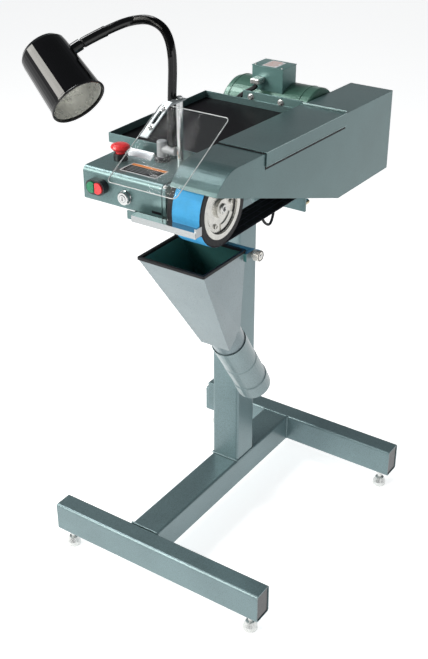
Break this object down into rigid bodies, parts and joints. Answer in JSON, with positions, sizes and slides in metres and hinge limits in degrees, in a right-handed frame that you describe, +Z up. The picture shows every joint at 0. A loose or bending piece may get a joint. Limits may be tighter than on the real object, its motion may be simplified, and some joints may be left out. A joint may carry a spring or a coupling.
{
  "type": "stand-mounted belt sander",
  "caption": "Stand-mounted belt sander: H-base stand, control box, parts tray, guarded abrasive belt on a contact wheel, side-mounted motor, eye shield, lamp and dust hopper.",
  "frame": {"origin": "on the floor under the middle of the outer box", "axes": "+Z up, +Y away from the operator along the machine, +X to the operator's right"},
  "size_m": [0.5854, 0.8626, 1.335],
  "materials": {
    "aluminium": "machined",
    "belt": "abrasive cloth",
    "black": "satin",
    "brass": "plated",
    "bulb": "frosted bulb",
    "chrome": "polished",
    "clear": "clear polycarbonate",
    "gloss_black": "gloss black",
    "gloss_neck": "gloss sleeve",
    "green": "moulded",
    "grey": "moulded",
    "mat": "matt",
    "motor_paint": "hammered enamel",
    "paint": "hammered enamel",
    "red": "moulded",
    "rubber": "matt",
    "steel": "ground",
    "zinc": "zinc plated"
  },
  "bodies": {
    "frame": {"front_foot_tube": "paint", "rear_foot_tube": "paint", "base_rail": "paint", "column": "paint", "column_bracket": "paint", "front_cap_left": "black", "front_cap_right": "black", "rear_cap_left": "black", "rear_cap_right": "black", "head_frame": "paint", "frame_plate": "paint", "control_box": "paint", "button_bezel": "black", "key_collar": "chrome", "estop_collar": "black", "tray": "paint", "tray_mat": "mat", "wheel_axle": "steel", "motor_body": "motor_paint", "motor_bracket": "paint", "conduit_box": "motor_paint", "cable_clamp": "zinc", "motor_cable": "rubber", "abrasive_belt": "belt", "tension_spring": "steel", "cable_loop": "rubber", "belt_guard": "paint", "lid_hinge_pin": "paint", "rest_bracket": "paint", "shield_post": "chrome", "gland_nut": "black", "hopper_hanger": "paint"},
    "lid": {"guard_lid": "paint"},
    "start": {"start_button": "green"},
    "stop": {"stop_button": "red"},
    "key": {"key_barrel": "chrome"},
    "estop": {"estop_mushroom": "red"},
    "contact_wheel": {"contact_hub": "aluminium", "contact_tyre": "rubber"},
    "motor_rotor": {"motor_shaft": "steel", "drive_wheel": "aluminium"},
    "tensioner": {"tension_arm": "steel"},
    "idler": {"idler_wheel": "steel"},
    "tracking": {"tracking_knob": "brass"},
    "rest": {"work_rest": "steel"},
    "shield_carrier": {"shield_arm": "steel"},
    "shield": {"shield_plate": "clear"},
    "lamp_stem": {"cable_elbow": "grey", "gooseneck": "gloss_neck"},
    "lamp_head": {"lamp_shade": "gloss_black", "lamp_bulb": "bulb"},
    "dust_hopper": {"hopper": "paint", "hopper_trim": "rubber"},
    "duct": {"dust_elbow": "paint"},
    "hopper_screw": {"hopper_knob": "zinc"},
    "foot_fl": {"levelling_foot_front_left": "zinc"},
    "foot_fr": {"levelling_foot_front_right": "zinc"},
    "foot_rl": {"levelling_foot_rear_left": "zinc"},
    "foot_rr": {"levelling_foot_rear_right": "zinc"}
  },
  "joints": [
    {"name": "motor_spin", "type": "hinge", "parent": "frame", "child": "motor_rotor", "pos_m": [0.1025, 0.2933, 1.002], "axis": [1, 0, 0], "continuous": true},
    {"name": "contact_wheel_spin", "type": "hinge", "parent": "frame", "child": "contact_wheel", "pos_m": [0.1025, -0.2307, 0.994], "axis": [1, 0, 0], "continuous": true},
    {"name": "tension_arm_swing", "type": "hinge", "parent": "frame", "child": "tensioner", "pos_m": [0.059, 0.1898, 0.95], "axis": [1, 0, 0], "range_deg": [-9, 0], "stiffness_Nm_per_rad": 12, "springref_deg": 20.05, "deforming": ["tension_spring"]},
    {"name": "idler_spin", "type": "hinge", "parent": "tensioner", "child": "idler", "pos_m": [0.1025, 0.1333, 0.9425], "axis": [1, 0, 0], "continuous": true},
    {"name": "tracking_turn", "type": "hinge", "parent": "frame", "child": "tracking", "pos_m": [0.1385, 0.1133, 0.886], "axis": [0, 1, 0], "continuous": true},
    {"name": "guard_lid_hinge", "type": "hinge", "parent": "frame", "child": "lid", "pos_m": [0.1225, 0.2038, 1.0746], "axis": [-1, 0, 0], "range_deg": [0, 100]},
    {"name": "start_press", "type": "slide", "parent": "frame", "child": "start", "axis": [0, 1, 0], "range_m": [0, 0.003], "stiffness_N_per_m": 900, "springref_m": -0.0015},
    {"name": "stop_press", "type": "slide", "parent": "frame", "child": "stop", "axis": [0, 1, 0], "range_m": [0, 0.003], "stiffness_N_per_m": 900, "springref_m": -0.0015},
    {"name": "key_turn", "type": "hinge", "parent": "frame", "child": "key", "pos_m": [-0.0455, -0.287, 0.992], "axis": [0, 1, 0], "range_deg": [0, 90]},
    {"name": "estop_press", "type": "slide", "parent": "frame", "child": "estop", "axis": [0, 0, -1], "range_m": [0, 0.005]},
    {"name": "rest_adjust", "type": "slide", "parent": "frame", "child": "rest", "axis": [0, 1, 0], "range_m": [-0.012, 0]},
    {"name": "shield_arm_swivel", "type": "hinge", "parent": "frame", "child": "shield_carrier", "pos_m": [0.0075, -0.1727, 1.168], "axis": [0, 0, 1], "range_deg": [-10, 1]},
    {"name": "shield_slide", "type": "slide", "parent": "shield_carrier", "child": "shield", "axis": [0, -0.8628, -0.5055], "range_m": [0, 0.012]},
    {"name": "lamp_stem_turn", "type": "hinge", "parent": "frame", "child": "lamp_stem", "pos_m": [-0.0375, -0.1737, 1.05], "axis": [0, 0, 1], "range_deg": [-30, 10]},
    {"name": "lamp_head_tilt", "type": "hinge", "parent": "lamp_stem", "child": "lamp_head", "pos_m": [-0.11435, -0.30902, 1.2915], "axis": [-0.3443, 0.6473, -0.6801], "range_deg": [-10, 20]},
    {"name": "hopper_swing", "type": "hinge", "parent": "frame", "child": "dust_hopper", "pos_m": [0.161, -0.1497, 0.871], "axis": [1, 0, 0], "range_deg": [-6, 6]},
    {"name": "dust_elbow_turn", "type": "hinge", "parent": "dust_hopper", "child": "duct", "pos_m": [0.082, -0.1032, 0.615], "axis": [0, 0.5048, -0.8632], "range_deg": [-90, 90]},
    {"name": "hopper_knob_turn", "type": "hinge", "parent": "dust_hopper", "child": "hopper_screw", "pos_m": [0.1725, -0.1497, 0.871], "axis": [1, 0, 0], "continuous": true},
    {"name": "levelling_foot_fl_turn", "type": "hinge", "parent": "frame", "child": "foot_fl", "pos_m": [-0.2675, -0.2813, 0.03], "axis": [0, 0, 1], "continuous": true},
    {"name": "levelling_foot_fr_turn", "type": "hinge", "parent": "frame", "child": "foot_fr", "pos_m": [0.2605, -0.2813, 0.03], "axis": [0, 0, 1], "continuous": true},
    {"name": "levelling_foot_rl_turn", "type": "hinge", "parent": "frame", "child": "foot_rl", "pos_m": [-0.2675, 0.3717, 0.03], "axis": [0, 0, 1], "continuous": true},
    {"name": "levelling_foot_rr_turn", "type": "hinge", "parent": "frame", "child": "foot_rr", "pos_m": [0.2605, 0.3717, 0.03], "axis": [0, 0, 1], "continuous": true}
  ],
  "couplings": [
    {"joint": "contact_wheel_spin", "follows": "motor_spin", "ratio": 0.7874},
    {"joint": "idler_spin", "follows": "motor_spin", "ratio": 2.4}
  ]
}
